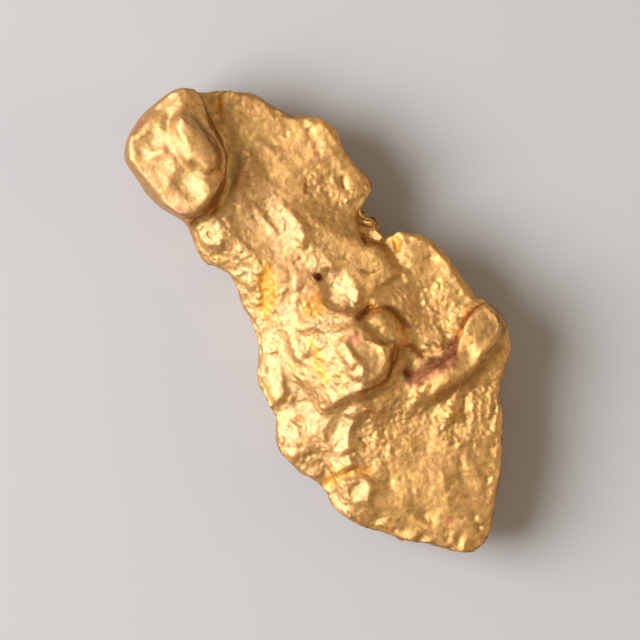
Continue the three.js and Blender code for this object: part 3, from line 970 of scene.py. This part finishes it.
colour = tint(mottle(0.0011, detail=4, low=0.42, high=0.62, warp=0.5), TAN, PINK)
yellower = mottle(0.0007, detail=5, low=0.5, high=0.68, warp=0.8)
mottled = mottle(0.0002, detail=6, low=0.44, high=0.64, warp=0.3)
# Painted shade on the walls that face away from the key lamp, broken into patches.
wall_shade_mask = scaled(mask("side"), mottle(0.0012, detail=4, low=0.1, high=0.5, warp=0.6))
for share, strength, over in (
    (yellower, 0.6, YELLOW),
    # Olive in the hollows, darker than the tan as painted shade in the recesses.
    (mask("hollow"), 0.8, OLIVE),
    (mottled, 0.55, BROWN_MOTTLE),
    (mask("speckle"), 0.8, DARK_SPECK),
    (wall_shade_mask, 0.8, WALL_SHADE_COLOUR),
    (mask("blush"), 0.6, BLUSH),
    (mask("amber"), 0.95, AMBER_FILM),
    # Rust in the crevices, and painted shade down the finger's right flank.
    (mask("rust_and_flank_shade"), 0.85, RUST_AND_FLANK_SHADE),
    (mask("maroon"), 0.9, MAROON_CRUST),
    (mask("grain"), 1.0, RED_GRAIN),
):
    colour = tint(scaled(share, strength), colour, over)
links.new(colour, shader.inputs["Base Color"])

# Rubbed metal shines twice: softly from its fine scratches, and more sharply where it is polished.
shader.inputs["Coat Roughness"].default_value = 0.34
shader.inputs["Coat IOR"].default_value = 1.8
links.new(scaled(mask("polish"), 0.5), shader.inputs["Coat Weight"])
rub = node("ShaderNodeMapRange", To_Min=0.64, To_Max=0.48)
links.new(mottle(0.0003, detail=4, low=0.35, high=0.7, warp=0.2), rub.inputs["Value"])
links.new(rub.outputs["Result"], shader.inputs["Roughness"])

# A grain too fine for the surface itself.
pebble = node("ShaderNodeTexNoise", Scale=6500, Detail=5, Roughness=0.7)
links.new(where, pebble.inputs["Vector"])
bump = node("ShaderNodeBump", Strength=0.4, Distance=0.00005)
links.new(pebble.outputs["Fac"], bump.inputs["Height"])
links.new(bump.outputs["Normal"], shader.inputs["Normal"])
links.new(bump.outputs["Normal"], shader.inputs["Coat Normal"])

surface.materials.clear()
surface.materials.append(gold)
surface.polygons.foreach_set("use_smooth", [True] * len(surface.polygons))

surface.transform(Matrix.Scale(1 / MM, 4))
surface.update()

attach(nugget, "root")
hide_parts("nugget")

# ---------------------------------------------------------------------------------------------
# The nugget lies on a sheet of pale card. One soft lamp stands over its low edge, a weak warm one
# behind the far edge, and it is seen from straight above.

CARD_COLOUR = (0.56, 0.55, 0.54, 1)
CARD_HALF = 0.6  # half of the card's side, in metres
LAMP_AIM = (0, 0, 0.002)

floor_mesh = bpy.data.meshes.new("floor")
sheet = bmesh.new()
bmesh.ops.create_grid(sheet, x_segments=1, y_segments=1, size=CARD_HALF)
sheet.to_mesh(floor_mesh)
sheet.free()
floor = bpy.data.objects.new("floor", floor_mesh)
bpy.context.scene.collection.objects.link(floor)
floor.location.z = solid_box[0][2]
paper = bpy.data.materials.new("pale_card")
paper.use_nodes = True
card_shader = paper.node_tree.nodes["Principled BSDF"]
card_shader.inputs["Base Color"].default_value = CARD_COLOUR
card_shader.inputs["Roughness"].default_value = 0.9
floor_mesh.materials.append(paper)


def soft_light(name, heading, out, up, size, power, colour):
    """A round lamp, out from the middle of the card on a heading and up over it, in metres."""
    place = (out * math.cos(heading), out * math.sin(heading), up)
    lamp = bpy.data.lights.new(name, "AREA")
    lamp.shape = "DISK"
    lamp.size = size
    lamp.energy = power
    lamp.color = colour
    light = bpy.data.objects.new(name, lamp)
    bpy.context.scene.collection.objects.link(light)
    light.location = place
    light.rotation_euler = (Vector(LAMP_AIM) - Vector(place)).to_track_quat("-Z", "Y").to_euler()


KEY_REACH = 0.25
KEY_RISE = math.radians(44)
COOL_WHITE = (0.96, 1.0, 1.08)
WARM_WHITE = (1.0, 0.84, 0.6)
ROOM_COLOUR = (1.0, 0.86, 0.68, 1)
ROOM_STRENGTH = 0.31

soft_light(
    "key",
    heading=math.radians(FAR_SIDE + 180),
    out=KEY_REACH * math.cos(KEY_RISE),
    up=KEY_REACH * math.sin(KEY_RISE),
    size=0.2,
    power=0.81,
    colour=COOL_WHITE,
)
soft_light(
    "rim",
    heading=math.radians(FAR_SIDE),
    out=0.25,
    up=0.12,
    size=0.16,
    power=0.1,
    colour=WARM_WHITE,
)

world = bpy.data.worlds.new("studio")
bpy.context.scene.world = world
world.use_nodes = True
room = world.node_tree.nodes["Background"]
room.inputs["Color"].default_value = ROOM_COLOUR
room.inputs["Strength"].default_value = ROOM_STRENGTH
bpy.context.scene.view_settings.view_transform = "Standard"

CAMERA_HEIGHT = 0.3
VIEW_WIDTH = 0.0256  # what the picture spans at the slab's height
SLAB_HEIGHT = 0.0017
VIEW_MIDDLE = (-0.00017, -0.00087)
VIEW_TURN = math.radians(55)
SENSOR = 36

lens_camera = bpy.data.cameras.new("camera")
lens_camera.sensor_width = SENSOR
lens_camera.lens = SENSOR * (CAMERA_HEIGHT - SLAB_HEIGHT) / VIEW_WIDTH
lens_camera.clip_start = 0.01
camera = bpy.data.objects.new("camera", lens_camera)
bpy.context.scene.collection.objects.link(camera)
camera.location = (*VIEW_MIDDLE, CAMERA_HEIGHT)
camera.rotation_euler = (0, 0, VIEW_TURN)
bpy.context.scene.camera = camera
